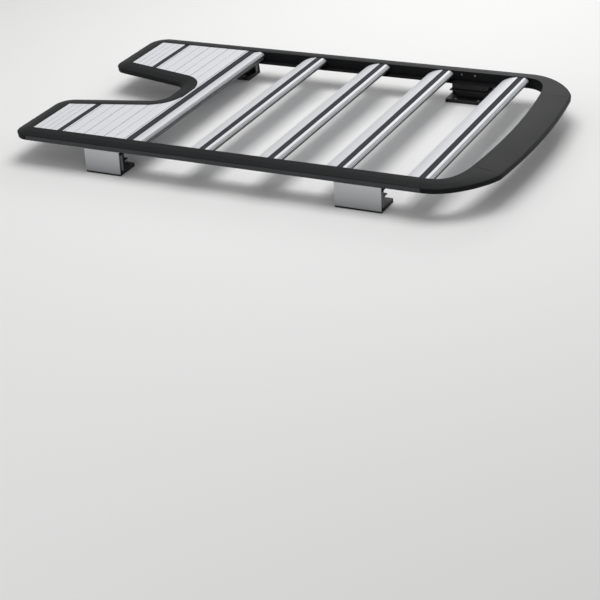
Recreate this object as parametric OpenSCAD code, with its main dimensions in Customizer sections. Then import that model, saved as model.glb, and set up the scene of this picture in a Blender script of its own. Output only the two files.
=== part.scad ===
/* [Frame] */
// width over the two side rails
rack_w = 1256; // [1100:10:1400]
// length from the front panel's edge to the rear ends
rack_l = 2250; // [2050:1:2500]
// height from the floor to the top of the deck
rack_h = 142; // [120:1:190]
// width of the frame's sloping top, from its inner edge to its outer crease
rim_w = 74; // [50:1:90]
// how far the sloping top falls towards the outer crease
rim_drop = 12; // [8:1:22]
// height of the narrow outer face below the crease
band_h = 21; // [12:1:26]
// height of the inner wall that the bars butt against
wall_h = 50; // [42:1:60]
// thickness of the frame's skins
skin_t = 4; // [3:0.5:6]
// width of the ledge that carries the bars' end brackets
ledge_w = 32; // [24:1:44]
// half width of the crown's flatter inner part
crown_w = 38; // [20:1:44]
// fall of the crown's flatter inner part
crown_drop = 4; // [2:1:8]
// width of the return flange under the outer face
return_w = 10; // [6:1:16]
// how far the outer face leans in at its foot
band_lean = 2; // [0:0.5:5]
// radius of the frame's inner edge at the four rear corners
corner_r = 8; // [4:1:20]

/* [Front] */
// depth of the front panel at the middle
front_w = 133; // [110:1:160]
// how far the front panel's two edges bow forwards
front_bow = 25; // [8:1:40]
// distance from the front edge to the place where the corner starts to turn
seam_d = 281; // [270:1:310]
// how far behind the turn the slanting seam between rail and corner starts
seam_back = 22; // [21:1:40]
// how far the seam runs forwards on its way out to the crease
seam_run = 20; // [4:1:21]
// half width of the front panel, up to its seam with a corner
front_half = 411; // [380:1:430]
// how far the front corner's outer edge holds the rail's direction before it turns
corner_out = 143; // [80:1:160]
// how far the front corner's outer edge holds the panel's direction before it turns
corner_out_end = 47; // [20:1:70]
// how far the front corner's inner edge holds the rail's direction before it turns
corner_in = 75; // [40:1:110]
// how far the front corner's inner edge holds the panel's direction before it turns
corner_in_end = 107; // [40:1:120]
// number of flats that make up a front corner's top
corner_n = 10; // [4:1:14]

/* [Rear notch] */
// half width of the notch's inner edge at the rear
notch_half = 270; // [250:1:310]
// depth of the notch from the rear edge of the deck
notch_d = 477; // [400:1:520]
// sideways run of each notch arm towards the middle
notch_run = 110; // [60:1:140]
// radius of the notch's inner edge at its two front bends
notch_r = 155; // [110:1:170]

/* [Crossbars] */
// distance from the front edge to the middle of the first bar's strip
bar_1_d = 305; // [295:1:340]
// distance from the front edge to the middle of the second bar's strip
bar_2_d = 665; // [640:1:720]
// how far in front of the middle between its neighbours the third bar sits
bar_3_ahead = 6; // [0:1:12]
// distance from the middle of the fourth bar's strip to the middle of the deck edge's strip
bar_4_gap = 365; // [320:1:380]
// height of a bar
bar_h = 34; // [30:1:36]
// width of a bar's tail behind its strip
tail_w = 80; // [66:1:90]
// height of the tail's rear edge
tail_edge = 2; // [1:0.5:4]
// width of a bar's rounded nose in front of its strip
nose_w = 25; // [20:1:32]
// height of the nose's lower edge above the bar's foot
nose_foot = 8; // [4:1:12]
// width of the rubber strip on top of a bar
strip_w = 28; // [20:1:34]
// how far the top of a bar sits below the frame's inner edge
bar_sink = 2; // [0:0.5:6]
// thickness of a bar's top skin
bar_t = 4; // [3:0.5:5]
// depth of the rubber strip in its channel
strip_t = 5; // [3:0.5:7]
// width of the channel below the strip
channel_w = 20; // [12:1:24]
// depth of the channel below the strip
channel_d = 10; // [6:1:12]
// gap between a bar's end and the frame's wall
end_gap = 1; // [0.5:0.5:4]

/* [Deck] */
// width of the deck edge bar behind the middle of its strip
edge_rear_w = 24; // [20:1:34]
// width of the deck edge bar in front of its strip
edge_front_w = 57; // [46:1:66]
// height of the planks
plank_h = 30; // [26:1:34]
// height of the lower lip under the deck edge bar's nose
lip_t = 3; // [2:0.5:5]
// width of the rear bar in front of its strip
rear_front_w = 10; // [6:1:20]
// distance from the rear edge to the middle of the rear bar's strip
rear_strip_d = 217; // [170:1:240]
// number of planks between the deck edge bar and the rear bar
plank_n = 3; // [3:1:3]
// gap between two planks
plank_gap = 1.5; // [1:0.5:4]
// width of the fine groove along the middle of each plank
groove_w = 2; // [1:0.5:4]
// depth of the fine groove
groove_t = 1.5; // [0.5:0.5:2.5]

/* [Feet] */
// distance from the front edge to the middle of the front feet
foot_front_d = 555; // [500:1:640]
// distance from the rear edge to the middle of the rear feet
foot_rear_d = 478; // [400:1:540]
// length of a front foot's cover
cover_front_l = 207; // [180:1:240]
// length of a rear foot's cover
cover_rear_l = 176; // [140:1:200]
// thickness of a foot's cover
cover_t = 4; // [3:0.5:6]
// how far a foot's cover leans outwards at the bottom
cover_lean = 8; // [2:1:24]
// thickness of a tower's top plate
plate_t = 6; // [4:1:8]
// thickness of a tower's base flange
flange_t = 8; // [6:1:16]
// how far each step of a tower stands back from the plate above or below it
step_d = 20; // [8:1:24]
// thickness of the ledge half way up a tower
ledge_t = 5; // [4:1:8]
// thickness of the pad under a foot
pad_t = 8; // [5:1:12]
// distance from the frame's inner edge to the mounting holes, towards the middle
foot_hole_in = 6; // [0:1:12]
// height of the tower's upstand behind the rail's wall
upstand_h = 42; // [30:1:44]
// distance from the deck's top down to the bolts in the rail's wall
wall_bolt_d = 16; // [14:1:28]
// distance between the two bolts in the rail's wall
wall_bolt_s = 64; // [30:1:90]
// radius of the bolt holes in the rail's wall
wall_bolt_r = 4.5; // [3:0.5:6]
// radius of a foot's mounting hole
foot_hole_r = 4.5; // [3:0.5:6]
// distance between a foot's two mounting holes
foot_hole_s = 110; // [80:1:130]

/* [Hidden] */
half_w = rack_w / 2;
half_l = rack_l / 2;
lip_x = half_w - rim_w;
rear_lip_y = half_l - rim_w;
notch_y = rear_lip_y - notch_d;
arm_a = atan(notch_run / notch_d);
turn_a = 90 - arm_a;
rim_h = rim_drop + band_h;
seam_y = seam_d - half_l;
slot_d = strip_t + channel_d;
bow_r = (front_half * front_half + front_bow * front_bow) / (2 * front_bow);
bow_a = asin(front_half / bow_r);
bow_y = bow_r - half_l;
foot_front_y = foot_front_d - half_l;
foot_rear_y = half_l - foot_rear_d;
bar_2_y = bar_2_d - half_l;
edge_rear_y = notch_y - plank_gap;
edge_strip_y = edge_rear_y - edge_rear_w;
bar_4_y = edge_strip_y - bar_4_gap;
bar_3_y = (bar_2_y + bar_4_y) / 2 - bar_3_ahead;
bar_ys = [bar_1_d - half_l, bar_2_y, bar_3_y, bar_4_y];
bar_end = lip_x - end_gap;
ledge_top = rack_h - wall_h + skin_t;
under_z = rack_h - wall_h;
bar_z = rack_h - bar_sink - bar_h;
plank_z = rack_h - bar_sink - plank_h;
tan_corner = corner_r;
tan_notch = notch_r * tan(turn_a / 2);
tan_tip = corner_r * tan(turn_a / 2);
rear_strip_y = half_l - rear_strip_d;
rear_bar_y = rear_strip_y - strip_w / 2 - rear_front_w;
plank_pitch = (rear_bar_y - edge_rear_y) / plank_n;
fine = 0.05;
big = 3000;

// The frame's cross section: u runs outwards from the inner edge, v upwards from the deck's top.
module rim_section(ledge) {
  polygon([
    [0, 0],
    [crown_w, -crown_drop],
    [rim_w, -rim_drop],
    [rim_w - band_lean, -rim_h],
    [rim_w - band_lean - return_w, -rim_h],
    [rim_w - band_lean - return_w, -rim_h + skin_t],
    [rim_w - band_lean - skin_t, -rim_h + skin_t],
    [rim_w - skin_t, -rim_drop - skin_t],
    [crown_w, -crown_drop - skin_t],
    [skin_t, -skin_t],
    [skin_t, -wall_h],
    [-ledge, -wall_h],
    [-ledge, skin_t - wall_h],
    [0, skin_t - wall_h]
  ]);
}

// A straight run of the frame along +Y, its inner edge on the Y axis and its outer side at +X.
module rim_run(length, ledge) {
  translate([0, length, rack_h])
    rotate([90, 0, 0])
      linear_extrude(height = length)
        rim_section(ledge);
}

// A bend that turns the frame's outer side round a convex corner.
module rim_bend_out(radius, angle) {
  translate([0, 0, rack_h])
    rotate_extrude(angle = angle, $fn = 96)
      translate([radius, 0])
        rim_section(0);
}

// A bend with the frame's outer side towards the bend's middle.
module rim_bend_in(radius, angle) {
  translate([0, 0, rack_h])
    rotate_extrude(angle = angle, $fn = 96)
      translate([radius, 0])
        mirror([1, 0])
          rim_section(0);
}

// All that lies in front of the slanting seam.
module seam_front() {
  translate([lip_x, seam_y + seam_back, 0])
    rotate([0, 0, -atan(seam_run / rim_w)])
      translate([-rack_w / 4, -seam_back - rim_w, -1])
        cube([rack_w / 2, seam_back + rim_w, 2 * rack_h]);
}

module rail() {
  color("#2c2e30")
    difference() {
      translate([lip_x, seam_y, 0])
        rim_run(rear_lip_y - corner_r - seam_y, ledge_w);
      seam_front();
      rail_bores();
    }
}

// Two bolts fix each foot's upstand to the rail's wall.
module rail_bores() {
  for (y = [foot_front_y, foot_rear_y])
    for (s = [-0.5, 0.5])
      translate([lip_x, y + s * wall_bolt_s, rack_h - wall_bolt_d])
        rotate([0, 90, 0])
          cylinder(h = 6 * skin_t, r = wall_bolt_r, center = true, $fn = 48);
}

module rear_end() {
  color("#2c2e30") {
    union() {
      translate([lip_x - corner_r, rear_lip_y - corner_r, 0])
        rim_bend_out(corner_r, 90);
      translate([lip_x - corner_r, rear_lip_y, 0])
        rotate([0, 0, 90])
          rim_run(lip_x - corner_r - notch_half - tan_tip, 0);
      translate([notch_half + tan_tip, rear_lip_y - corner_r, 0])
        rotate([0, 0, 90])
          rim_bend_out(corner_r, turn_a);
    }
  }
}

// The straight arm of the notch, from the tip's bend to the notch's front bend.
module notch_arm() {
  arm_l = norm([notch_run, notch_d]) - tan_tip - tan_notch;
  color("#2c2e30")
    translate([notch_half, rear_lip_y, 0])
      rotate([0, 0, 180 - arm_a])
        translate([0, tan_tip, 0])
          rim_run(arm_l, 0);
}

module notch_bend_half() {
  mid_x = notch_half - notch_run - tan_notch;
  translate([mid_x, notch_y + notch_r, 0])
    rotate([0, 0, -90])
      rim_bend_in(notch_r, turn_a);
  translate([0, notch_y, 0])
    rotate([0, 0, 90])
      mirror([0, 1, 0])
        rim_run(mid_x, 0);
}

module notch_bend() {
  color("#2c2e30")
    union() {
      notch_bend_half();
      mirror([1, 0, 0])
        notch_bend_half();
    }
}

// The front panel: the same section drawn wider, swept along a shallow arc.
module front_section() {
  polygon([
    [0, 0],
    [front_w, -rim_drop],
    [front_w - band_lean, -rim_h],
    [front_w - band_lean - return_w, -rim_h],
    [front_w - band_lean - return_w, -rim_h + skin_t],
    [front_w - band_lean - skin_t, -rim_h + skin_t],
    [front_w - skin_t, -rim_drop - skin_t],
    [skin_t, -skin_t],
    [skin_t, -wall_h],
    [0, -wall_h]
  ]);
}

module front_panel() {
  color("#2c2e30")
    translate([0, bow_y, rack_h])
      rotate([0, 0, -90 - bow_a])
        rotate_extrude(angle = 2 * bow_a, $fn = 720)
          translate([bow_r - front_w, 0])
            front_section();
}

// A cubic curve through p and s with handles q and r.
function curve(p, q, r, s, t) =
  pow(1 - t, 3) * p + 3 * t * pow(1 - t, 2) * q + 3 * t * t * (1 - t) * r + t * t * t * s;

function panel_end(r) = [r * sin(bow_a), bow_y - r * cos(bow_a)];

function edge_at(rail_x, r, rail_hold, panel_hold, t) = curve(
  [rail_x, seam_y],
  [rail_x, seam_y - rail_hold],
  panel_end(r) + panel_hold * [cos(bow_a), sin(bow_a)],
  panel_end(r),
  t
);

function out_at(t, inset) = edge_at(half_w - inset, bow_r - inset, corner_out, corner_out_end, t);

function in_at(t, inset) =
  edge_at(lip_x + inset, bow_r - front_w + inset, corner_in, corner_in_end, t);

module corner_plan(inset, n) {
  polygon(concat(
    [for (i = [0 : n]) out_at(i / n, inset)],
    [for (i = [n : -1 : 0]) in_at(i / n, inset)]
  ));
}

// The space under the corner's sloping flats, each hinged on the inner edge.
module corner_under(lower) {
  intersection_for(i = [0 : corner_n - 1]) {
    a = in_at(i / corner_n, 0);
    b = in_at((i + 1) / corner_n, 0);
    m = out_at((i + 0.5) / corner_n, 0);
    away = [a[1] - b[1], b[0] - a[0]] / norm(b - a);
    reach = (m - a) * away;
    translate([a[0], a[1], rack_h - lower])
      rotate([0, 0, atan2(away[1], away[0])])
        rotate([0, atan(rim_drop / reach), 0])
          translate([-big, -big / 2, -big / 2])
            cube([2 * big, big, big / 2]);
  }
}

module front_corner() {
  color("#2c2e30")
    union() {
      intersection() {
        translate([lip_x, seam_y, 0])
          rim_run(seam_back + rim_w, 0);
        seam_front();
      }
      difference() {
        intersection() {
          translate([0, 0, rack_h - rim_h])
            linear_extrude(height = rim_h + skin_t)
              corner_plan(0, 24);
          corner_under(0);
        }
        intersection() {
          translate([0, 0, rack_h - 2 * rim_h])
            linear_extrude(height = 2 * rim_h)
              corner_plan(skin_t, 24);
          corner_under(skin_t);
        }
      }
      translate([0, 0, under_z])
        linear_extrude(height = wall_h - 2 * skin_t)
          polygon(concat(
            [for (i = [0 : 24]) in_at(i / 24, 0)],
            [for (i = [24 : -1 : 0]) in_at(i / 24, skin_t)]
          ));
    }
}

// The recess for the rubber strip and the channel below it.
module strip_recess(height) {
  translate([-strip_w / 2, height - strip_t])
    square([strip_w, height]);
  translate([-channel_w / 2, height - slot_d])
    square([channel_w, height]);
}

// The top of a bar's tail, from the strip's rear edge down to the tail's edge.
function tail_at(t) = curve(
  [strip_w / 2, bar_h],
  [strip_w / 2 + 0.47 * tail_w, bar_h - 3],
  [strip_w / 2 + 0.84 * tail_w, bar_h / 2 - 1],
  [strip_w / 2 + tail_w, tail_edge],
  t
);

// The rounded nose, from its top down to its lower edge, a given distance in front of the strip.
function nose_at(ahead, t) = curve(
  [-strip_w / 2 - ahead, bar_h],
  [-strip_w / 2 - ahead - 0.6 * nose_w, bar_h - 1],
  [-strip_w / 2 - ahead - 1.2 * nose_w, 0.65 * bar_h],
  [-strip_w / 2 - ahead - 0.92 * nose_w, nose_foot + 6],
  t
);

function nose_edge(ahead) = [-strip_w / 2 - ahead - 0.75 * nose_w, nose_foot];

// A free bar's section: y runs to the rear from the middle of the strip, z up from its foot.
module bar_section() {
  difference() {
    polygon(concat(
      [for (i = [0 : 12]) tail_at(i / 12)],
      [[strip_w / 2 + tail_w - 2 * tail_edge, 0], [-strip_w / 2, 0], nose_edge(0)],
      [for (i = [12 : -1 : 0]) nose_at(0, i / 12)]
    ));
    strip_recess(bar_h);
    polygon(concat(
      [for (i = [1 : 9]) tail_at(i / 12) - [bar_t / 2, bar_t]],
      [[strip_w / 2 + 0.75 * tail_w, bar_t], [strip_w / 2, bar_t], [strip_w / 2, bar_h - slot_d]]
    ));
  }
}

module crossbar(n) {
  color("#d6d8da")
    translate([-bar_end, bar_ys[n], bar_z])
      rotate([90, 0, 90])
        linear_extrude(height = 2 * bar_end)
          bar_section();
}

module strip_along(length, y) {
  seat = 0.2;
  translate([-length / 2, y, rack_h - bar_sink - strip_t])
    rotate([90, 0, 90])
      linear_extrude(height = length)
        polygon([
          [seat - strip_w / 2, 0],
          [strip_w / 2 - seat, 0],
          [strip_w / 2 - seat, strip_t - 1],
          [strip_w / 4, strip_t - 0.4],
          [-strip_w / 4, strip_t - 0.4],
          [seat - strip_w / 2, strip_t - 1]
        ]);
}

module strip(n) {
  color("#26282a")
    strip_along(2 * bar_end, bar_ys[n]);
}

// The ground taken by the notch, widened by the gap that the deck keeps from its edge.
module notch_ground(gap) {
  mid_x = notch_half - notch_run - tan_notch;
  grown = notch_r + gap;
  top_x = notch_half + notch_run * rim_w / notch_d + gap;
  half = concat(
    [for (i = [0 : 24])
      let(a = -90 + turn_a * i / 24)
        [mid_x + grown * cos(a), notch_y + notch_r + grown * sin(a)]],
    [[top_x, rear_lip_y + rim_w]]
  );
  polygon(concat(half, [for (i = [len(half) - 1 : -1 : 0]) [-half[i][0], half[i][1]]]));
}

module deck_cut() {
  translate([0, 0, plank_z - plank_h])
    linear_extrude(height = 3 * plank_h)
      notch_ground(end_gap);
}

// The deck edge bar: a flat rear part, the strip, and a nose with a small lip below it.
module deck_edge_section() {
  ahead = edge_front_w - nose_w;
  rear = edge_rear_y - edge_strip_y;
  under = nose_foot - lip_t;
  difference() {
    polygon(concat(
      [[rear, bar_h], [rear, 0], [-strip_w / 2 - ahead, 0]],
      [nose_edge(ahead) - [0, nose_foot], nose_edge(ahead) - [0, under]],
      [nose_edge(ahead) + [4 * lip_t, -under], nose_edge(ahead) + [4 * lip_t, 0], nose_edge(ahead)],
      [for (i = [12 : -1 : 0]) nose_at(ahead, i / 12)]
    ));
    strip_recess(bar_h);
    translate([2 * bar_t - strip_w / 2 - ahead, bar_t])
      square([ahead - 2 * bar_t, bar_h - 2 * bar_t - strip_t]);
  }
}

module deck_edge_bar() {
  color("#d6d8da")
    translate([-bar_end, edge_strip_y, bar_z])
      rotate([90, 0, 90])
        linear_extrude(height = 2 * bar_end)
          deck_edge_section();
}

module deck_edge_strip() {
  color("#26282a")
    strip_along(2 * bar_end, edge_strip_y);
}

// The rear bar: a hollow plank with the strip near its front and fine grooves behind it.
module rear_bar_section() {
  front = rear_bar_y - rear_strip_y;
  rear = rear_lip_y - end_gap - rear_strip_y;
  back_w = rear - strip_w / 2;
  difference() {
    translate([front, 0])
      square([rear - front, plank_h]);
    strip_recess(plank_h);
    for (i = [1 : 3])
      translate([strip_w / 2 + i * back_w / 4 - groove_w / 2, plank_h - groove_t])
        square([groove_w, plank_h]);
    for (i = [0 : 1])
      translate([strip_w / 2 + i * back_w / 2, bar_t])
        square([back_w / 2 - bar_t, plank_h - 2 * bar_t]);
  }
}

module rear_bar() {
  color("#d6d8da")
    difference() {
      translate([-bar_end, rear_strip_y, plank_z])
        rotate([90, 0, 90])
          linear_extrude(height = 2 * bar_end)
            rear_bar_section();
      deck_cut();
    }
}

module rear_strip() {
  color("#26282a")
    difference() {
      strip_along(2 * bar_end, rear_strip_y);
      deck_cut();
    }
}

// A hollow plank with a fine groove along the middle of its top.
module plank_section() {
  w = plank_pitch - plank_gap;
  difference() {
    square([w, plank_h]);
    translate([w / 2 - groove_w / 2, plank_h - groove_t])
      square([groove_w, plank_h]);
    translate([bar_t, bar_t])
      square([w / 2 - 1.5 * bar_t, plank_h - 2 * bar_t]);
    translate([w / 2 + bar_t / 2, bar_t])
      square([w / 2 - 1.5 * bar_t, plank_h - 2 * bar_t]);
  }
}

module plank(n) {
  color("#d6d8da")
    difference() {
      translate([-bar_end, edge_rear_y + n * plank_pitch + plank_gap, plank_z])
        rotate([90, 0, 90])
          linear_extrude(height = 2 * bar_end)
            plank_section();
      deck_cut();
    }
}

// Two lengthwise bearers carry the planks' inner ends beside the notch.
module deck_beams() {
  beam_w = 40;
  beam_t = 3;
  beam_h = plank_z - ledge_top;
  beam_l = rear_lip_y - edge_rear_y;
  color("#2c2e30")
    for (s = [-1, 1])
      translate([s * (notch_half + 3 * beam_t + beam_w / 2), edge_rear_y, ledge_top])
        difference() {
          translate([-beam_w / 2, 0, 0])
            cube([beam_w, beam_l, beam_h]);
          translate([beam_t - beam_w / 2, -beam_t, beam_t])
            cube([beam_w - 2 * beam_t, beam_l + 2 * beam_t, beam_h - 2 * beam_t]);
        }
}

// An end bracket stands on the rail's ledge under each bar and plank.
module bracket(y, w, top_z) {
  side = 2;
  hole_r = 4;
  difference() {
    translate([lip_x - ledge_w + side, y - w / 2, ledge_top])
      cube([ledge_w - 2 * side, w, top_z - ledge_top]);
    translate([lip_x - ledge_w / 2, y, ledge_top])
      cylinder(h = 3 * bar_h, r = hole_r, center = true, $fn = 32);
  }
}

module brackets() {
  bar_w = tail_w / 2 + strip_w;
  color("#232527") {
    for (y = bar_ys)
      bracket(y + bar_w / 2 - strip_w / 2, bar_w, bar_z);
    bracket(edge_strip_y - strip_w / 2, bar_w, bar_z);
    for (n = [0 : plank_n - 1])
      bracket(edge_rear_y + (n + 0.5) * plank_pitch + plank_gap / 2, bar_w, plank_z);
    bracket((rear_bar_y + rear_lip_y - corner_r) / 2, bar_w, plank_z);
  }
}

// A foot's tower: top plate, stepped riser, base flange, and the upstand behind the rail's wall.
module tower(y, length) {
  top_z = under_z;
  mid_z = (top_z - plate_t + pad_t + flange_t) / 2;
  in_x = lip_x - ledge_w / 2;
  out_x = half_w - band_lean - return_w;
  out_low = out_x + cover_lean;
  color("#1d1e20")
    difference() {
      union() {
        translate([in_x, y - length / 2, top_z - plate_t])
          cube([out_x - in_x, length, plate_t]);
        translate([lip_x + skin_t, y - length / 2 + step_d, top_z - plate_t])
          cube([plate_t, length - 2 * step_d, upstand_h + plate_t]);
        tower_body(y, length - 2 * step_d, in_x + step_d, out_x, mid_z, top_z);
        tower_body(y, length - step_d, in_x + step_d / 2, out_x, mid_z - ledge_t, mid_z);
        tower_body(y, length - 3 * step_d, in_x + 1.5 * step_d, out_x, pad_t, mid_z);
        translate([in_x - step_d, y - length / 2, pad_t])
          cube([out_x - in_x + step_d, length, flange_t]);
      }
      foot_bores(y);
      for (s = [-0.5, 0.5])
        translate([lip_x, y + s * wall_bolt_s, rack_h - wall_bolt_d])
          rotate([0, 90, 0])
            cylinder(h = 8 * skin_t, r = wall_bolt_r, center = true, $fn = 48);
    }
}

module tower_body(y, length, near_x, far_x, low_z, high_z) {
  translate([near_x, y - length / 2, low_z])
    cube([far_x - near_x, length, high_z - low_z]);
}

module foot_bores(y) {
  for (s = [-0.5, 0.5])
    translate([lip_x - foot_hole_in - step_d, y + s * foot_hole_s, 0])
      cylinder(h = 3 * (pad_t + flange_t), r = foot_hole_r, center = true, $fn = 48);
}

module cover(y, length) {
  top_z = rack_h - rim_h - 1;
  out_x = half_w - band_lean - cover_t;
  in_x = half_w - band_lean - return_w;
  low_z = pad_t;
  color("#b9bcbf")
    translate([0, y + length / 2, 0])
      rotate([90, 0, 0])
        linear_extrude(height = length)
          polygon([
            [in_x, top_z],
            [out_x + cover_t, top_z],
            [out_x + cover_t + cover_lean, low_z],
            [out_x + cover_lean, low_z],
            [out_x, top_z - cover_t],
            [in_x, top_z - cover_t]
          ]);
}

module pad(y, length) {
  in_x = lip_x - ledge_w / 2 - step_d;
  out_x = half_w + cover_lean - band_lean;
  color("#151617")
    difference() {
      translate([in_x, y - length / 2, 0])
        cube([out_x - in_x, length, pad_t]);
      foot_bores(y);
    }
}

mirror([1, 0, 0]) rail();  // rail_right
rail();  // rail_left
mirror([1, 0, 0]) front_corner();  // front_corner_right
front_corner();  // front_corner_left
front_panel();
mirror([1, 0, 0]) rear_end();  // rear_end_right
rear_end();  // rear_end_left
mirror([1, 0, 0]) notch_arm();  // notch_arm_right
notch_arm();  // notch_arm_left
notch_bend();
crossbar(0);  // crossbar_1
crossbar(1);  // crossbar_2
crossbar(2);  // crossbar_3
crossbar(3);  // crossbar_4
strip(0);  // strip_1
strip(1);  // strip_2
strip(2);  // strip_3
strip(3);  // strip_4
deck_edge_bar();
deck_edge_strip();
rear_bar();
rear_strip();
plank(0);  // plank_1
plank(1);  // plank_2
plank(2);  // plank_3
deck_beams();
mirror([1, 0, 0]) brackets();  // brackets_right
brackets();  // brackets_left
mirror([1, 0, 0]) tower(foot_front_y, cover_front_l);  // tower_front_right
tower(foot_front_y, cover_front_l);  // tower_front_left
mirror([1, 0, 0]) tower(foot_rear_y, cover_rear_l);  // tower_rear_right
tower(foot_rear_y, cover_rear_l);  // tower_rear_left
mirror([1, 0, 0]) cover(foot_front_y, cover_front_l);  // cover_front_right
cover(foot_front_y, cover_front_l);  // cover_front_left
mirror([1, 0, 0]) cover(foot_rear_y, cover_rear_l);  // cover_rear_right
cover(foot_rear_y, cover_rear_l);  // cover_rear_left
mirror([1, 0, 0]) pad(foot_front_y, cover_front_l);  // pad_front_right
pad(foot_front_y, cover_front_l);  // pad_front_left
mirror([1, 0, 0]) pad(foot_rear_y, cover_rear_l);  // pad_rear_right
pad(foot_rear_y, cover_rear_l);  // pad_rear_left
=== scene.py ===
import math

import bmesh
import bpy
from mathutils import Matrix, Vector
from mathutils.geometry import tessellate_polygon


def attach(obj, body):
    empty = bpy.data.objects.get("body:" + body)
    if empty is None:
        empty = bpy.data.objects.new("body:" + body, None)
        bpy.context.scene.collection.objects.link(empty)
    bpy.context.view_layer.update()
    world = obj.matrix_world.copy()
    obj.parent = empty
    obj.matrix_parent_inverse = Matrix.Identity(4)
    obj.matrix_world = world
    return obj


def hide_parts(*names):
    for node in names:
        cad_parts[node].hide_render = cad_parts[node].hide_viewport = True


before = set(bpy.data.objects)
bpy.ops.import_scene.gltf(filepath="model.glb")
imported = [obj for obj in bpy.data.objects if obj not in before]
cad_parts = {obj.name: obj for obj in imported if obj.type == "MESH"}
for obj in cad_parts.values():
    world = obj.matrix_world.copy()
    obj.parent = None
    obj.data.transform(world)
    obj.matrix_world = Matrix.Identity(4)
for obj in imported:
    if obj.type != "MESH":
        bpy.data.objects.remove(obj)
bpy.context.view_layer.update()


# Side rails. Aluminium channels, powder coated dark grey with a fine grain. Their narrow outer face
# is drawn in a paler copy of the coat, as painted light. Each has a crowned top, a fine line beside
# the crease, a leaning outer face with a flange, and an inner wall whose ledge carries the ends of the
# bars. Bolts fix the feet to the wall.

MM = 0.001
DECK_TOP = 142.0
LIP_X = 554.0
HALF_L = 1125.0
RIM_W = 74.0
RIM_DROP = 12.0
RIM_H = 33.0
RIM_LEAN = 2.0
CREASE_LINE = 4.5
CREASE_HALF = 0.9
CREASE_DEPTH = 1.8
CROWN_RISE = 2.0
FLANGE_IN = 12.0
WALL_H = 50.0
SKIN = 4.0
LEDGE_W = 32.0
CORNER_R = 8.0
REAR_LIP_Y = HALF_L - RIM_W
SEAM_D = 281.0
TURN_Y = SEAM_D - HALF_L
SEAM_BACK = 22.0
SEAM_RUN = 20.0
SEAM_SLANT = SEAM_RUN / RIM_W
SEAM_HALF = 0.5
SHARP_ANGLE = math.radians(28)
SIDES = (("right", -1), ("left", 1))


class Field:
    """A shader socket that numbers and other fields can be added to, or multiplied with."""

    tree = None

    def __init__(self, socket):
        self.socket = socket

    @classmethod
    def node(cls, kind, settings=None, inputs=None, out=0):
        made = cls.tree.nodes.new(kind)
        for key, value in (settings or {}).items():
            setattr(made, key, value)
        for key, value in (inputs or {}).items():
            if isinstance(value, Field):
                cls.tree.links.new(value.socket, made.inputs[key])
            else:
                made.inputs[key].default_value = value
        return cls(made.outputs[out])

    @classmethod
    def math(cls, operation, a, b):
        return cls.node("ShaderNodeMath", {"operation": operation}, {0: a, 1: b})

    def __add__(self, other):
        return Field.math("ADD", self, other)

    def __mul__(self, other):
        return Field.math("MULTIPLY", self, other)

    def ramp(self, low, high, to_low=0.0, to_high=1.0):
        """Spreads low..high over to_low..to_high, and holds it there beyond."""
        names = {"Value": self, "From Min": low, "From Max": high, "To Min": to_low, "To Max": to_high}
        return Field.node("ShaderNodeMapRange", {"clamp": True}, names)


def new_material(name):
    material = bpy.data.materials.new(name)
    material.use_nodes = True
    Field.tree = material.node_tree
    return material, material.node_tree.nodes["Principled BSDF"]


def plug(value, socket):
    if isinstance(value, Field):
        Field.tree.links.new(value.socket, socket)
    else:
        socket.default_value = value


def object_noise(scale, stretch=(1.0, 1.0, 1.0), detail=3.0, roughness=0.5):
    place = Field.node("ShaderNodeTexCoord", out=3)
    place = Field.node("ShaderNodeMapping", {}, {"Vector": place, "Scale": stretch})
    return Field.node("ShaderNodeTexNoise", {"noise_dimensions": "3D"},
                      {"Vector": place, "Scale": scale, "Detail": detail, "Roughness": roughness})


def tint(dark, light, amount):
    return Field.node("ShaderNodeMix", {"data_type": "RGBA"}, {0: amount, 6: dark, 7: light}, out=2)


def powder_coat(name, dark, light, rough, specular):
    material, shader = new_material(name)
    grain = object_noise(900.0, detail=2.0)
    cloud = object_noise(7.0, detail=4.0)
    # Painted highlight: sharp convex edges (high pointiness) are tinted paler, standing in for light
    # caught on the edges.
    edge = Field.node("ShaderNodeNewGeometry", out=7).ramp(0.52, 0.60)
    plug(tint(dark, light, cloud.ramp(0.35, 0.65) * 0.5 + edge * 0.4), shader.inputs["Base Color"])
    plug(cloud * 0.12 + grain * 0.10 + rough, shader.inputs["Roughness"])
    bump = Field.node("ShaderNodeBump", {}, {"Strength": 0.22, "Distance": 0.0004, "Height": grain})
    plug(bump, shader.inputs["Normal"])
    shader.inputs["Specular IOR Level"].default_value = specular
    return material


def rounded(points, steps=4):
    """Turns (u, v, radius) corners of a closed outline into points with round corners."""
    out = []
    count = len(points)
    for i, (u, v, r) in enumerate(points):
        here = Vector((u, v))
        if r <= 0:
            out.append(here)
            continue
        before = Vector(points[i - 1][:2]) - here
        after = Vector(points[(i + 1) % count][:2]) - here
        angle = before.angle(after)
        reach = min(r / math.tan(angle / 2), before.length * 0.48, after.length * 0.48)
        a = here + before.normalized() * reach
        b = here + after.normalized() * reach
        for k in range(steps + 1):
            t = k / steps
            out.append(a * (1 - t) ** 2 + here * (2 * t * (1 - t)) + b * t ** 2)
    return out


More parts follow.
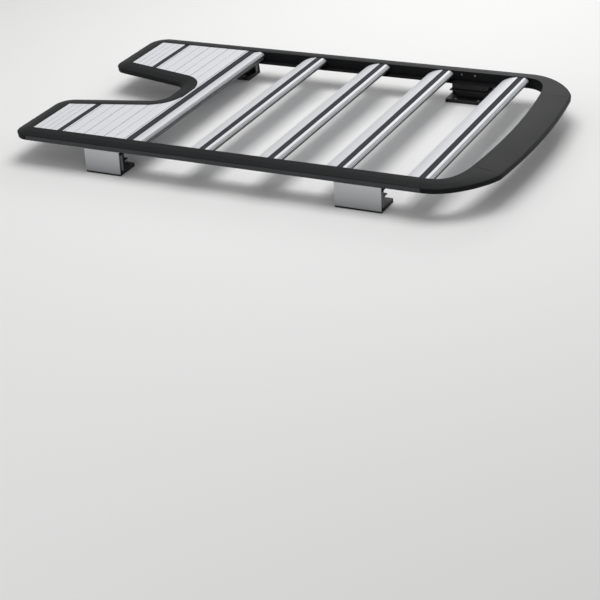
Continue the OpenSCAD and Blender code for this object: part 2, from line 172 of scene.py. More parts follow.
def rim_outline(width, crown, ledge):
    """The frame's section: u outwards from the inner edge, v up from the deck's top, and a radius."""
    mid = RIM_DROP / 2 - CROWN_RISE * crown
    line = width - CREASE_LINE
    flange = width - FLANGE_IN
    inside = SKIN - RIM_H

    def top(u):
        return -mid - (RIM_DROP - mid) * (u - width / 2) / (width / 2)

    points = [(0, 0, 1.5), (width / 2, -mid, 30),
              (line - CREASE_HALF, top(line - CREASE_HALF), 0.3), (line, top(line) - CREASE_DEPTH, 0),
              (line + CREASE_HALF, top(line + CREASE_HALF), 0.3),
              (width, -RIM_DROP, 5), (width - RIM_LEAN, -RIM_H, 1.5),
              (flange, -RIM_H, 0.5), (flange, inside, 0.5), (width - RIM_LEAN - SKIN, inside, 0.5),
              (width - SKIN, -RIM_DROP - SKIN, 2), (width / 2, -mid - SKIN, 20), (SKIN, -SKIN, 1),
              (SKIN, -WALL_H, 0.5)]
    if ledge:
        points += [(-ledge, -WALL_H, 0.5), (-ledge, SKIN - WALL_H, 1), (0, SKIN - WALL_H, 1)]
    else:
        points += [(0, -WALL_H, 0.5)]
    return rounded(points)


def mesh_object(name, bm, material):
    bmesh.ops.remove_doubles(bm, verts=bm.verts, dist=1e-7)
    bmesh.ops.recalc_face_normals(bm, faces=bm.faces)
    mesh = bpy.data.meshes.new(name)
    bm.to_mesh(mesh)
    bm.free()
    made = bpy.data.objects.new(name, mesh)
    bpy.context.scene.collection.objects.link(made)
    mesh.materials.append(material)
    mesh.shade_smooth()
    mesh.set_sharp_from_angle(angle=SHARP_ANGLE)
    return made


def skin(bm, rings):
    """Joins rings of equally many vertices into the wall of a solid."""
    for a, b in zip(rings, rings[1:]):
        for i in range(len(a)):
            j = (i + 1) % len(a)
            bm.faces.new((a[i], a[j], b[j], b[i]))


def sweep(name, stations, material, side=1, lit_band=None):
    """A closed solid through stations of (place, outward direction, outline, slant). The outer
    face, from the crease down to the flange, can take a paler copy of the material as painted light."""
    bm = bmesh.new()
    rings = []
    for place, outward, outline, slant in stations:
        ring = []
        for p in outline:
            x = (place[0] + outward[0] * p.x) * side
            y = place[1] + outward[1] * p.x - slant * p.x
            ring.append(bm.verts.new((x * MM, y * MM, (DECK_TOP + p.y) * MM)))
        rings.append(ring)
    skin(bm, rings)
    if lit_band:
        # Painted light: the outer face's faces take the paler copy in the second material slot.
        outer = [p.x > RIM_W - RIM_LEAN - 0.5 and p.y < -RIM_DROP for p in outline]
        for n, face in enumerate(bm.faces):
            i = n % len(outer)
            face.material_index = 1 if outer[i] and outer[(i + 1) % len(outer)] else 0
    for ring in (rings[0], rings[-1]):
        cap = bm.faces.new(ring)
        bmesh.ops.triangulate(bm, faces=[cap])
    made = mesh_object(name, bm, material)
    if lit_band:
        made.data.materials.append(lit_band)
    return made


def dress(made, slot, *nodes):
    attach(made, "root")
    if nodes:
        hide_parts(*nodes)
    return made


COAT = powder_coat("frame_coat", (0.0062, 0.0065, 0.0072, 1), (0.0112, 0.0119, 0.0130, 1), 0.38, 0.07)
# Painted light: a paler copy of the frame coat for the rails' narrow outer face, standing in for the light
# it catches from the side.
LIT_BAND_COAT = powder_coat("band_coat_painted_light", (0.039, 0.0405, 0.044, 1), (0.054, 0.056, 0.060, 1), 0.42, 0.12)

for side_name, side in SIDES:
    outline = rim_outline(RIM_W, 1, LEDGE_W)
    stations = [((LIP_X, TURN_Y + SEAM_BACK + SEAM_HALF), (1, 0), outline, SEAM_SLANT),
                ((LIP_X, REAR_LIP_Y - CORNER_R - SEAM_HALF), (1, 0), outline, 0)]
    dress(sweep("side_rail_" + side_name, stations, COAT, side, LIT_BAND_COAT), "frame", "rail_" + side_name)


# Front corners. Welded ends of the same section and coat, which widens from 74 mm to 133 mm
# while its crease stays level. A thin seam parts each corner from its rail and from the panel.

FRONT_W = 133.0
FRONT_HALF = 411.0
BOW = 25.0
IN_HOLDS = (75.0, 107.0)
OUT_HOLDS = (143.0, 47.0)
CORNER_STEPS = 48
CORNER_END = 0.996
CROWN_FADE = 1.6
BOW_R = (FRONT_HALF ** 2 + BOW ** 2) / (2 * BOW)
BOW_A = math.asin(FRONT_HALF / BOW_R)
BOW_Y = BOW_R - HALF_L
SEAM_TURN = SEAM_HALF / BOW_R


def panel_end(radius):
    return Vector((radius * math.sin(BOW_A), BOW_Y - radius * math.cos(BOW_A)))


def cubic(p, q, r, s, t):
    return p * (1 - t) ** 3 + q * 3 * t * (1 - t) ** 2 + r * 3 * t * t * (1 - t) + s * t ** 3


def corner_edge(rail_x, radius, holds, t):
    """An edge of the corner's plan: a curve that leaves the rail and the panel straight on."""
    start = Vector((rail_x, TURN_Y))
    end = panel_end(radius)
    along = Vector((math.cos(BOW_A), math.sin(BOW_A)))
    return cubic(start, start - Vector((0, holds[0])), end + holds[1] * along, end, t)


for side_name, side in SIDES:
    outline = rim_outline(RIM_W, 1, 0)
    stations = [((LIP_X, TURN_Y + SEAM_BACK - SEAM_HALF), (1, 0), outline, SEAM_SLANT)]
    for i in range(CORNER_STEPS + 1):
        t = CORNER_END * i / CORNER_STEPS
        inner = corner_edge(LIP_X, BOW_R - FRONT_W, IN_HOLDS, t)
        outer = corner_edge(LIP_X + RIM_W, BOW_R, OUT_HOLDS, t)
        across = outer - inner
        crown = max(0.0, 1 - CROWN_FADE * t)
        stations.append((inner, across.normalized(), rim_outline(across.length, crown, 0), 0))
    made = sweep("front_corner_piece_" + side_name, stations, COAT, side)
    dress(made, "frame", "front_corner_" + side_name)


# Front panel. The wide, slightly bowed front of the frame, in the same coat, 822 mm long and
# 133 mm deep, which slopes down to the front. It is welded between the two corners.

PANEL_STEPS = 40

stations = []
for i in range(PANEL_STEPS + 1):
    a = (BOW_A - SEAM_TURN) * (2 * i / PANEL_STEPS - 1)
    outward = Vector((math.sin(a), -math.cos(a)))
    inner = Vector((0, BOW_Y)) + outward * (BOW_R - FRONT_W)
    stations.append((inner, outward, rim_outline(FRONT_W, 0, 0), 0))
dress(sweep("front_panel_piece", stations, COAT), "frame", "front_panel")


# Rear ends and notch. The same welded and coated section turns round the deck's two rear corners,
# runs in to the notch's tips, down its leaning arms and round its bend, where the outer side
# faces inwards.

NOTCH_HALF = 270.0
NOTCH_D = 477.0
NOTCH_RUN = 110.0
NOTCH_R = 155.0
NOTCH_Y = REAR_LIP_Y - NOTCH_D
ARM_A = math.atan(NOTCH_RUN / NOTCH_D)
TURN_A = math.pi / 2 - ARM_A
TAN_TIP = CORNER_R * math.tan(TURN_A / 2)
TAN_BEND = NOTCH_R * math.tan(TURN_A / 2)
BEND_X = NOTCH_HALF - NOTCH_RUN - TAN_BEND


def arc(centre, radius, start, turn, steps, inward=False):
    outline = rim_outline(RIM_W, 1, 0)
    made = []
    for i in range(steps + 1):
        a = start + turn * i / steps
        d = Vector((math.cos(a), math.sin(a)))
        made.append((centre + d * radius, -d if inward else d, outline, 0))
    return made


for side_name, side in SIDES:
    corner = arc(Vector((LIP_X - CORNER_R, REAR_LIP_Y - CORNER_R)), CORNER_R, 0, math.pi / 2, 20)
    tip = arc(Vector((NOTCH_HALF + TAN_TIP, REAR_LIP_Y - CORNER_R)), CORNER_R, math.pi / 2, TURN_A, 20)
    made = sweep("rear_end_piece_" + side_name, corner + tip, COAT, side)
    dress(made, "frame", "rear_end_" + side_name)
    bend = arc(Vector((BEND_X, NOTCH_Y + NOTCH_R)), NOTCH_R, TURN_A - math.pi / 2, 0, 1, True)[:1]
    made = sweep("notch_arm_piece_" + side_name, tip[-1:] + bend, COAT, side)
    dress(made, "frame", "notch_arm_" + side_name)

half = arc(Vector((BEND_X, NOTCH_Y + NOTCH_R)), NOTCH_R, TURN_A - math.pi / 2, -TURN_A, 24, True)
other = [(Vector((-p.x, p.y)), Vector((-d.x, d.y)), o, s) for p, d, o, s in reversed(half)]
dress(sweep("notch_bend_piece", half + other, COAT), "frame", "notch_bend")


# Crossbars. Four hollow aluminium extrusions with a wing section, clear anodised: a rounded nose
# with two fine grooves, a channel for the strip, and a long tail that falls to the rear. Their
# ends are bolted to brackets on the rails' ledges.

BAR_TOP = 140.0
BAR_H = 34.0
BAR_Z = BAR_TOP - BAR_H
BAR_END = 553.0
STRIP_W = 28.0
STRIP_T = 5.0
CHANNEL_W = 20.0
SLOT_D = 15.0
TAIL_W = 80.0
NOSE_W = 25.0
NOSE_FOOT = 8.0
NOSE_STEPS = 20
NOSE_GROOVES = (9, 12)
BAR_YS = (-820.0, -460.0, -144.25, 183.5)


def anodised(name, base, rough, metal):
    """Clear anodised aluminium. Faces that look forwards, such as a nose's lower half, get painted shade:
    their colour is darkened.
    """
    material, shader = new_material(name)
    normal = Field.node("ShaderNodeNewGeometry", out=1)
    ahead = Field.node("ShaderNodeSeparateXYZ", {}, {0: normal}, out=1)
    # Painted shade: the colour darkens as a face turns forwards, standing in for shade and the dark
    # surroundings reflected on a nose's lower half.
    painted_shade = ahead.ramp(-0.60, -0.30, 0.08, 1.0)
    lines = object_noise(60.0, (0.05, 6.0, 6.0), detail=4.0, roughness=0.7)
    cloud = object_noise(5.0, detail=3.0)
    light = (base[0] * 1.06, base[1] * 1.06, base[2] * 1.06, 1)
    lit = tint((*base, 1), light, lines * 0.6 + cloud * 0.4)
    dark = (base[0] * 0.05, base[1] * 0.05, base[2] * 0.05, 1)
    plug(tint(dark, lit, painted_shade), shader.inputs["Base Color"])
    plug(lines * 0.12 + cloud * 0.06 + rough, shader.inputs["Roughness"])
    shader.inputs["Metallic"].default_value = metal
    bump = Field.node("ShaderNodeBump", {}, {"Strength": 0.10, "Distance": 0.0002, "Height": lines})
    plug(bump, shader.inputs["Normal"])
    return material


def tail_curve():
    """The tail's upper side, from the strip down to the rear edge."""
    edge = STRIP_W / 2
    p = (Vector((edge, BAR_H)), Vector((edge + 0.47 * TAIL_W, BAR_H - 3)),
         Vector((edge + 0.84 * TAIL_W, BAR_H / 2 - 1)), Vector((edge + TAIL_W, 2)))
    return [cubic(*p, i / 20) for i in range(21)]


def nose_curve(ahead):
    """The nose from its lower edge up to the top, with a fine groove at two of its steps."""
    x = -STRIP_W / 2 - ahead
    p = (Vector((x, BAR_H)), Vector((x - 0.6 * NOSE_W, BAR_H - 1)),
         Vector((x - 1.2 * NOSE_W, 0.65 * BAR_H)), Vector((x - 0.92 * NOSE_W, NOSE_FOOT + 6)))
    made = [Vector((x - 0.75 * NOSE_W, NOSE_FOOT))]
    for i in range(NOSE_STEPS, -1, -1):
        here = cubic(*p, i / NOSE_STEPS)
        if i in NOSE_GROOVES:
            here += Vector((2.4, -0.6))
        made.append(here)
    return made


def recess(height):
    """The channel in a bar's top, with a wider mouth that holds the strip."""
    s, c = STRIP_W / 2, CHANNEL_W / 2
    return [Vector(p) for p in ((-s, height - STRIP_T), (-c, height - STRIP_T), (-c, height - SLOT_D),
                                (c, height - SLOT_D), (c, height - STRIP_T), (s, height - STRIP_T))]


def box_loop(low, high, radius=1.0):
    """A rectangle with round corners."""
    corners = ((low[0], low[1]), (high[0], low[1]), (high[0], high[1]), (low[0], high[1]))
    return rounded([(x, y, radius) for x, y in corners], 3)


def extrusion(name, loops, at, ends, material, along="x", mirrored=False, bm=None):
    """A hollow bar: outer loop and cavities as (across, up) points in mm, moved to at, between two
    ends, each a number or a function of the place across the bar."""
    last = bm is None
    bm = bm or bmesh.new()
    for flip in ((1, -1) if mirrored else (1,)):
        caps = ([], [])
        for loop in loops:
            rings = []
            for end in ends:
                ring = []
                for p in loop:
                    across, up = p.x + at[0], p.y + at[1]
                    far = (end(across) if callable(end) else end) * flip
                    place = (far, across, up) if along == "x" else (across, far, up)
                    ring.append(bm.verts.new((place[0] * MM, place[1] * MM, place[2] * MM)))
                rings.append(ring)
            skin(bm, rings)
            caps[0].append(rings[0])
            caps[1].append(rings[-1])
        shape = [[Vector((p.x, p.y, 0)) for p in loop] for loop in loops]
        for cap in caps:
            flat = [v for ring in cap for v in ring]
            for tri in tessellate_polygon(shape):
                bm.faces.new([flat[i] for i in tri])
    return mesh_object(name, bm, material) if last else None


# Its forward-facing faces carry the painted shade of anodised().
SILVER = anodised("bar_aluminium", (0.60, 0.61, 0.635), 0.44, 0.35)

tail = tail_curve()
wing = tail + [Vector((STRIP_W / 2 + TAIL_W - 1.2, 0.4)), Vector((STRIP_W / 2 + TAIL_W - 4, 0)),
               Vector((-STRIP_W / 2, 0))] + nose_curve(0) + recess(BAR_H)
tail_cavity = [p - Vector((2, 4)) for p in tail[2:15]]
tail_cavity += [Vector((STRIP_W / 2 + 0.75 * TAIL_W, 4)), Vector((STRIP_W / 2, 4)),
                Vector((STRIP_W / 2, BAR_H - SLOT_D))]
for i, y in enumerate(BAR_YS):
    made = extrusion("crossbar_piece_%d" % (i + 1), [wing, tail_cavity], (y, BAR_Z),
                     (-BAR_END, BAR_END), SILVER)
    dress(made, "bars", "crossbar_%d" % (i + 1))


# Rubber strips of the crossbars. Black extruded rubber, 28 mm wide, pressed into the channels,
# with six soft ribs along the top and a fine dotted grip.

def rubber(name, dark, light):
    material, shader = new_material(name)
    grain = object_noise(500.0, detail=3.0)
    place = Field.node("ShaderNodeTexCoord", out=3)
    dots = Field.node("ShaderNodeTexVoronoi", {}, {"Vector": place, "Scale": 240.0}).ramp(0.15, 0.5)
    colour = tint((*dark, 1), (*light, 1), grain.ramp(0.3, 0.7) * 0.6 + dots * 0.4)
    plug(colour, shader.inputs["Base Color"])
    plug(grain * 0.15 + 0.62, shader.inputs["Roughness"])
    bump = Field.node("ShaderNodeBump", {}, {"Strength": 0.3, "Distance": 0.0004, "Height": grain + dots})
    plug(bump, shader.inputs["Normal"])
    shader.inputs["Specular IOR Level"].default_value = 0.12
    return material


def strip_loop():
    """A strip's section, with six ribs along its top."""
    s = STRIP_W / 2 - 0.2
    top = [(s, STRIP_T - 1.0)]
    for i in range(12):
        x = s - 1.6 - (2 * s - 3.2) * i / 11
        top.append((x, STRIP_T - (0.4 if i % 2 == 0 else 1.2)))
    return [Vector(p) for p in [(-s, 0), (s, 0)] + top + [(-s, STRIP_T - 1.0)]]


STRIP = rubber("strip_rubber", (0.023, 0.0245, 0.0275), (0.039, 0.0412, 0.046))
for i, y in enumerate(BAR_YS):
    made = extrusion("strip_piece_%d" % (i + 1), [strip_loop()], (y, BAR_TOP - STRIP_T),
                     (-BAR_END, BAR_END), STRIP)
    dress(made, "strips", "strip_%d" % (i + 1))


# Deck edge bar and its strip. A hollow extrusion in the same finish along the deck's front edge,
# held like the crossbars: a strip like theirs, a rounded grooved nose and a thin lip below it.

PLANK_GAP = 1.5
EDGE_REAR_W = 24.0
EDGE_FRONT_W = 57.0
EDGE_REAR_Y = NOTCH_Y - PLANK_GAP
EDGE_STRIP_Y = EDGE_REAR_Y - EDGE_REAR_W
EDGE_AHEAD = EDGE_FRONT_W - NOSE_W
LIP_T = 3.0

back = EDGE_REAR_Y - EDGE_STRIP_Y
foot = Vector((-STRIP_W / 2 - EDGE_AHEAD - 0.75 * NOSE_W, NOSE_FOOT))
edge_loop = [Vector(p) for p in ((STRIP_W / 2, BAR_H), (back - 1, BAR_H), (back, BAR_H - 1), (back, 0),
                                 (-STRIP_W / 2 - EDGE_AHEAD, 0))]
edge_loop += [foot - Vector((0, NOSE_FOOT)), foot - Vector((0, NOSE_FOOT - LIP_T)),
              foot + Vector((4 * LIP_T, LIP_T - NOSE_FOOT)), foot + Vector((4 * LIP_T, 0))]
edge_loop += nose_curve(EDGE_AHEAD) + recess(BAR_H)
front = 8 - STRIP_W / 2 - EDGE_AHEAD
edge_cavity = box_loop((front, 4), (front + EDGE_AHEAD - 8, BAR_H - 9))
made = extrusion("deck_edge_piece", [edge_loop, edge_cavity], (EDGE_STRIP_Y, BAR_Z),
                 (-BAR_END, BAR_END), SILVER)
dress(made, "bars", "deck_edge_bar")
made = extrusion("deck_edge_strip_piece", [strip_loop()], (EDGE_STRIP_Y, BAR_TOP - STRIP_T),
                 (-BAR_END, BAR_END), STRIP)
dress(made, "strips", "deck_edge_strip")


# Deck planks. Three hollow extrusions in a paler copy of the bars' aluminium, as painted light, 102 mm
# wide, each in two halves cut along the notch's edge, with softened top edges and a fine groove along
# the middle. They rest on bearers, and on brackets at the rails.

PLANK_H = 30.0
PLANK_Z = BAR_TOP - PLANK_H
REAR_STRIP_D = 217.0
REAR_FRONT_W = 10.0
REAR_STRIP_Y = HALF_L - REAR_STRIP_D
REAR_BAR_Y = REAR_STRIP_Y - STRIP_W / 2 - REAR_FRONT_W
PLANK_PITCH = (REAR_BAR_Y - EDGE_REAR_Y) / 3
CUT_STEP = 6.0
GROOVE_HALF = 0.7
GROOVE_D = 1.2


def beside_notch(y):
    """Where the deck ends beside the notch, 1 mm clear of the frame."""
    grown = NOTCH_R + 1
    turn = NOTCH_Y + NOTCH_R - grown * math.cos(TURN_A)
    if y < turn:
        rise = NOTCH_Y + NOTCH_R - y
        return BEND_X + math.sqrt(max(grown ** 2 - rise ** 2, 0))
    low = BEND_X + grown * math.sin(TURN_A)
    high = NOTCH_HALF + NOTCH_RUN * RIM_W / NOTCH_D + 1
    return low + (high - low) * (y - turn) / (HALF_L - turn)


def finer(loop):
    """The same loop with more points, so that its cut end can follow a curve."""
    out = []
    for p, q in zip(loop, loop[1:] + loop[:1]):
        count = max(1, math.ceil(abs(q.x - p.x) / CUT_STEP))
        out += [p + (q - p) * k / count for k in range(count)]
    return out


def groove(x, height):
    foot = GROOVE_HALF * 0.6
    return [Vector((x + GROOVE_HALF, height)), Vector((x + foot, height - GROOVE_D)),
            Vector((x - foot, height - GROOVE_D)), Vector((x - GROOVE_HALF, height))]


# Painted light: the bars' aluminium drawn paler, standing in for more light on the flat deck.
DECK_LIT_COPY = anodised("deck_aluminium_lit_copy", (0.665, 0.675, 0.70), 0.44, 0.35)
w = PLANK_PITCH - PLANK_GAP
plank = [Vector((0, 0)), Vector((w, 0)), Vector((w, PLANK_H - 1.2)), Vector((w - 0.4, PLANK_H - 0.4)),
         Vector((w - 1.2, PLANK_H))] + groove(w / 2, PLANK_H) + [
         Vector((1.2, PLANK_H)), Vector((0.4, PLANK_H - 0.4)), Vector((0, PLANK_H - 1.2))]
cavities = [box_loop((4, 4), (w / 2 - 2, PLANK_H - 4)), box_loop((w / 2 + 2, 4), (w - 4, PLANK_H - 4))]
for n in range(3):
    at = (EDGE_REAR_Y + n * PLANK_PITCH + PLANK_GAP, PLANK_Z)
    made = extrusion("plank_piece_%d" % (n + 1), [finer(loop) for loop in [plank] + cavities], at,
                     (beside_notch, BAR_END), DECK_LIT_COPY, mirrored=True)
    dress(made, "bars", "plank_%d" % (n + 1))


# Rear bar and its strip. The last extrusion of the deck, 166 mm wide, with three fine grooves
# behind its strip, also cut in two by the notch and held like the planks.

front = REAR_BAR_Y - REAR_STRIP_Y
rear = REAR_LIP_Y - 1 - REAR_STRIP_Y
quarter = (rear - STRIP_W / 2) / 4
rear_loop = [Vector((front, 0)), Vector((rear, 0)), Vector((rear, PLANK_H - 1)),
             Vector((rear - 1, PLANK_H))]
for i in (3, 2, 1):
    rear_loop += groove(STRIP_W / 2 + i * quarter, PLANK_H)
rear_loop += [Vector((STRIP_W / 2, PLANK_H))] + recess(PLANK_H)[::-1] + [
    Vector((-STRIP_W / 2, PLANK_H)), Vector((front + 1, PLANK_H)), Vector((front, PLANK_H - 1))]
half_w = (rear - STRIP_W / 2) / 2
cavities = [box_loop((STRIP_W / 2 + i * half_w, 4), (STRIP_W / 2 + (i + 1) * half_w - 4, PLANK_H - 4))
            for i in range(2)]
made = extrusion("rear_bar_piece", [finer(loop) for loop in [rear_loop] + cavities],
                 (REAR_STRIP_Y, PLANK_Z), (beside_notch, BAR_END), DECK_LIT_COPY, mirrored=True)
dress(made, "bars", "rear_bar")
made = extrusion("rear_strip_piece", [finer(strip_loop())], (REAR_STRIP_Y, BAR_TOP - STRIP_T),
                 (beside_notch, BAR_END), STRIP, mirrored=True)
dress(made, "strips", "rear_strip")


# Bearers and end brackets. Black coated aluminium: two shallow hollow bearers under the planks
# beside the notch, and a block under each end of a bar, bolted to the rail's ledge.

LEDGE_TOP = DECK_TOP - WALL_H + SKIN
BLACK = powder_coat("inner_coat", (0.009, 0.009, 0.010, 1), (0.017, 0.017, 0.019, 1), 0.50, 0.25)

bm = bmesh.new()
for side in (-1, 1):
    x = side * (NOTCH_HALF + 29)
    h = PLANK_Z - LEDGE_TOP
    loops = [box_loop((-20, 0), (20, h)), box_loop((-17, 3), (17, h - 3))]
    extrusion("", loops, (x, LEDGE_TOP), (EDGE_REAR_Y, REAR_LIP_Y), BLACK, "y", bm=bm)
dress(mesh_object("deck_bearers", bm, BLACK), "inner_frame", "deck_beams")

BLOCK_L = TAIL_W / 2 + STRIP_W
blocks = [(y + BLOCK_L / 2 - STRIP_W / 2, BAR_Z) for y in BAR_YS]
blocks.append((EDGE_STRIP_Y - STRIP_W / 2, BAR_Z))
blocks += [(EDGE_REAR_Y + (n + 0.5) * PLANK_PITCH + PLANK_GAP / 2, PLANK_Z) for n in range(3)]
blocks.append(((REAR_BAR_Y + REAR_LIP_Y - CORNER_R) / 2, PLANK_Z))
for side_name, side in SIDES:
    bm = bmesh.new()
    for y, top in blocks:
        loop = box_loop((y - BLOCK_L / 2, LEDGE_TOP), (y + BLOCK_L / 2, top), 1.5)
        extrusion("", [loop], (0, 0), (side * (LIP_X - LEDGE_W + 2), side * (LIP_X - 2)), BLACK, bm=bm)
    made = mesh_object("bracket_blocks_" + side_name, bm, BLACK)
    dress(made, "inner_frame", "brackets_" + side_name)


# Feet. Each is a black cast tower with a top plate, a ledge and a base flange, whose upstand is
# bolted behind the rail's wall. A thin grey plate closes each of its ends behind the cover.

UNDER_Z = DECK_TOP - WALL_H
PAD_T = 8.0
FOOT_FRONT_D = 555.0
FOOT_REAR_D = 478.0
COVER_FRONT_L = 207.0
COVER_REAR_L = 176.0
FEET = (("front", FOOT_FRONT_D - HALF_L, COVER_FRONT_L), ("rear", HALF_L - FOOT_REAR_D, COVER_REAR_L))
FLANGE_T = 8.0
TOP_T = 6.0
SHELF_T = 5.0
UPSTAND_T = 6.0
UPSTAND_H = 42.0
RIB_T = 5.0
RIB_W = 16.0
STEP = 20.0
IN_X = LIP_X - LEDGE_W / 2
OUT_X = LIP_X + RIM_W - 12.0


def stack(bm, levels, y, side):
    """A solid of stacked slabs, each (x from, x to, length, z from, z to) with softened edges."""
    rings = []
    for x0, x1, length, z0, z1 in levels:
        for z, inset in ((z0, 1.0), (z0 + 1, 0), (z1 - 1, 0), (z1, 1.0)):
            low = (x0 + inset, y - length / 2 + inset)
            high = (x1 - inset, y + length / 2 - inset)
            loop = box_loop(low, high, 3.0)
            rings.append([bm.verts.new((p.x * side * MM, p.y * MM, z * MM)) for p in loop])
    skin(bm, rings)
    for ring in (rings[0], rings[-1]):
        bm.faces.new(ring)


CAST = powder_coat("tower_cast", (0.009, 0.009, 0.010, 1), (0.020, 0.020, 0.022, 1), 0.44, 0.35)
RIB = powder_coat("rib_cast", (0.10, 0.102, 0.104, 1), (0.15, 0.152, 0.155, 1), 0.40, 0.35)
BASE_Z = PAD_T + FLANGE_T
TOP_Z = UNDER_Z - TOP_T
MID_Z = (TOP_Z + BASE_Z) / 2
for end_name, y, length in FEET:
    for side_name, side in SIDES:
        bm = bmesh.new()
        stack(bm, [(IN_X - STEP, OUT_X, length, PAD_T, BASE_Z),
                   (IN_X + 1.5 * STEP, OUT_X, length - 3 * STEP, BASE_Z, MID_Z - SHELF_T),
                   (IN_X + STEP / 2, OUT_X, length - STEP, MID_Z - SHELF_T, MID_Z),
                   (IN_X + STEP, OUT_X, length - 2 * STEP, MID_Z, TOP_Z),
                   (IN_X, OUT_X, length, TOP_Z, UNDER_Z)], y, side)
        wall = LIP_X + SKIN
        stack(bm, [(wall, wall + UPSTAND_T, length - 2 * STEP, UNDER_Z - 3, UNDER_Z + UPSTAND_H)], y, side)
        made = mesh_object("tower_piece_%s_%s" % (end_name, side_name), bm, CAST)
        dress(made, "towers", "tower_%s_%s" % (end_name, side_name))

for side_name, side in SIDES:
    bm = bmesh.new()
    for end_name, y, length in FEET:
        for middle in (y - length / 2 + RIB_T, y + length / 2 - RIB_T):
            loop = box_loop((middle - RIB_T / 2, BASE_Z - 0.5), (middle + RIB_T / 2, TOP_Z + 0.5), 1.5)
            ends = (side * (OUT_X - 1 - RIB_W), side * (OUT_X - 1))
            extrusion("", [loop], (0, 0), ends, RIB, bm=bm)
    dress(mesh_object("foot_ribs_" + side_name, bm, RIB), "towers")


# Covers. Pressed aluminium panels in satin silver paint, clipped over the towers' outer sides,
# with soft edges. They lean out by 8 mm towards the foot, where painted shade darkens their colour,
# and painted light makes them paler towards the top.

COVER_T = 4.0
COVER_LEAN = 8.0


def satin(name, base, rough):
    """Metal or paint with a soft sheen, with painted light: paler towards the top, darker towards the
    foot.
    """
    material, shader = new_material(name)
    cloud = object_noise(6.0, detail=4.0)
    grain = object_noise(1200.0, detail=2.0)
    place = Field.node("ShaderNodeTexCoord", out=3)
    # Painted light and shade: the colour brightens with height above the floor, standing in for how the
    # light falls.
    height = Field.node("ShaderNodeSeparateXYZ", {}, {0: place}, out=2).ramp(0.01, 0.11)
    light = (base[0] * 1.9, base[1] * 1.9, base[2] * 1.9, 1)
    plug(tint((*base, 1), light, height * 0.85 + cloud * 0.15), shader.inputs["Base Color"])
    plug(grain * 0.10 + cloud * 0.06 + rough, shader.inputs["Roughness"])
    shader.inputs["Metallic"].default_value = 0.55
    bump = Field.node("ShaderNodeBump", {}, {"Strength": 0.08, "Distance": 0.0002, "Height": grain})
    plug(bump, shader.inputs["Normal"])
    return material


COVER = satin("cover_paint", (0.27, 0.278, 0.286), 0.36)
cover_top = DECK_TOP - RIM_H - 1
face_x = LIP_X + RIM_W - RIM_LEAN - COVER_T
cover_loop = rounded([(OUT_X, cover_top, 0.8), (face_x + COVER_T, cover_top, 3),
                      (face_x + COVER_T + COVER_LEAN, PAD_T, 0.8), (face_x + COVER_LEAN, PAD_T, 0.8),
                      (face_x, cover_top - COVER_T, 1), (OUT_X, cover_top - COVER_T, 0.8)])
for end_name, y, length in FEET:
    for side_name, side in SIDES:
        loop = [Vector((p.x * side, p.y)) for p in cover_loop]
        made = extrusion("cover_piece_%s_%s" % (end_name, side_name), [loop], (0, 0),
                         (y - length / 2, y + length / 2), COVER, "y")
        dress(made, "covers", "cover_%s_%s" % (end_name, side_name))


# Pads. Black rubber, 8 mm thick, one under each foot's whole base, to spare the roof's paint.
# The bolts of the base go down through them.

PAD = rubber("pad_rubber", (0.014, 0.014, 0.015), (0.026, 0.026, 0.028))
for end_name, y, length in FEET:
    for side_name, side in SIDES:
        bm = bmesh.new()
        stack(bm, [(IN_X - STEP, LIP_X + RIM_W - RIM_LEAN + COVER_LEAN, length, 0, PAD_T)], y, side)
        made = mesh_object("pad_piece_%s_%s" % (end_name, side_name), bm, PAD)
        dress(made, "pads", "pad_%s_%s" % (end_name, side_name))


# Bolts. Plated steel button heads on washers: two small ones through each rail's wall into a
# foot's upstand, and two through the inner side of each foot's base.

BOLT_SIDES = 24
WALL_BOLT_S = 64.0
WALL_BOLT_D = 16.0
WALL_HEAD_R = 3.2
WALL_HEAD_H = 2.5
BASE_BOLT_S = 110.0
BASE_BOLT_IN = 26.0
BASE_HEAD_R = 5.0
BASE_HEAD_H = 5.0


def button(bm, place, axis, radius, height):
    """A button head on its washer, with a socket, turned about axis."""
    turn = Vector((0, 0, 1)).rotation_difference(Vector(axis)).to_matrix().to_4x4()
    turn.translation = Vector(place)
    profile = ((radius * 1.3, 0), (radius * 1.3, 1.2), (radius * 1.25, 1.5), (radius, 1.5),
               (radius * 0.97, 2.6), (radius * 0.8, height * 0.8), (radius * 0.5, height),
               (radius * 0.42, height), (radius * 0.38, height - 2.5), (0.01, height - 2.8))
    rings = []
    for r, z in profile:
        ring = []
        for k in range(BOLT_SIDES):
            a = 2 * math.pi * k / BOLT_SIDES
            ring.append(bm.verts.new(turn @ Vector((r * math.cos(a), r * math.sin(a), z)) * MM))
        rings.append(ring)
    skin(bm, rings)
    for ring in (rings[0], rings[-1]):
        bm.faces.new(ring)


# The bolts share the covers' painted light: those low on the feet are drawn darker than those high on the
# wall.
ZINC = satin("bolt_zinc", (0.16, 0.16, 0.158), 0.30)
for side_name, side in SIDES:
    for end_name, y, length in FEET:
        bm = bmesh.new()
        for half in (-0.5, 0.5):
            place = (side * LIP_X, y + half * WALL_BOLT_S, DECK_TOP - WALL_BOLT_D)
            button(bm, place, (-side, 0, 0), WALL_HEAD_R, WALL_HEAD_H)
        for half in (-0.5, 0.5):
            place = (side * (LIP_X - BASE_BOLT_IN), y + half * BASE_BOLT_S, BASE_Z)
            button(bm, place, (0, 0, 1), BASE_HEAD_R, BASE_HEAD_H)
        dress(mesh_object("foot_bolts_%s_%s" % (end_name, side_name), bm, ZINC), "bars")


# Studio. A wide, pale, level floor under an even sky, with a large lamp overhead, one on the right
# for the covers and one on the left for the front panel, and the camera.

FLOOR_REACH = 60.0
SKY_ON_THINGS = 0.42
SKY_SEEN = 0.74

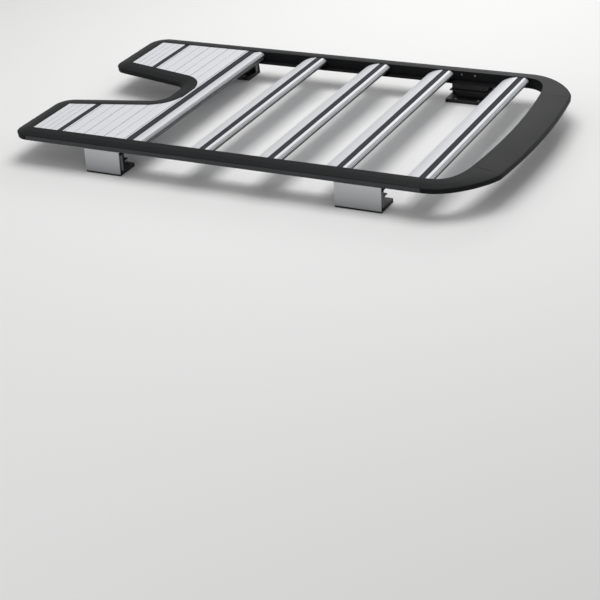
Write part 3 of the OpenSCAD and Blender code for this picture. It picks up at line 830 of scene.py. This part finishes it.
bm = bmesh.new()
bmesh.ops.create_grid(bm, x_segments=2, y_segments=2, size=FLOOR_REACH)
pale, shader = new_material("floor_pale")
plug((0.86, 0.86, 0.855, 1), shader.inputs["Base Color"])
plug(0.9, shader.inputs["Roughness"])
floor = mesh_object("studio_floor", bm, pale)

world = bpy.data.worlds.new("studio")
bpy.context.scene.world = world
world.use_nodes = True
Field.tree = world.node_tree
seen = Field.node("ShaderNodeLightPath")
ray = seen.socket.node.outputs
shown = Field(ray["Is Camera Ray"]) + Field(ray["Is Glossy Ray"]) + Field(ray["Is Transmission Ray"])
sky = world.node_tree.nodes["Background"]
sky.inputs["Color"].default_value = (1, 1, 1, 1)
plug(shown.ramp(0.0, 1.0, SKY_ON_THINGS, SKY_SEEN), sky.inputs["Strength"])


def area_light(name, place, aim, size, power):
    """A square lamp, with its places and size in metres and its power in watts."""
    lamp = bpy.data.lights.new(name, "AREA")
    lamp.size = size
    lamp.energy = power
    made = bpy.data.objects.new(name, lamp)
    bpy.context.scene.collection.objects.link(made)
    made.location = place
    made.rotation_euler = (Vector(place) - Vector(aim)).to_track_quat("Z", "Y").to_euler()


area_light("key", (0.9, 0.0, 5.0), (0, 0, 0), 3.5, 150)
area_light("side", (-5.2, 0.6, 1.9), (-0.6, -0.3, 0.1), 2.4, 25)
area_light("rim", (4.3, 0.2, 2.2), (0, -0.9, 0), 1.8, 36)

camera = bpy.data.objects.new("camera", bpy.data.cameras.new("camera"))
bpy.context.scene.collection.objects.link(camera)
bpy.context.scene.camera = camera
camera.data.sensor_width = 36
camera.data.lens = 96.21
camera.data.clip_end = 100
CAMERA_PLACE = (-5.777, -3.208, 2.7651)
HEADING = math.radians(-60.226)
DIP = math.radians(28.574)
ROLL = math.radians(-5.495)
camera.matrix_world = (Matrix.Translation(CAMERA_PLACE)
                       @ Matrix.Rotation(HEADING, 4, "Z")
                       @ Matrix.Rotation(math.pi / 2 - DIP, 4, "X")
                       @ Matrix.Rotation(ROLL, 4, "Z"))
bpy.context.scene.view_settings.view_transform = "Standard"
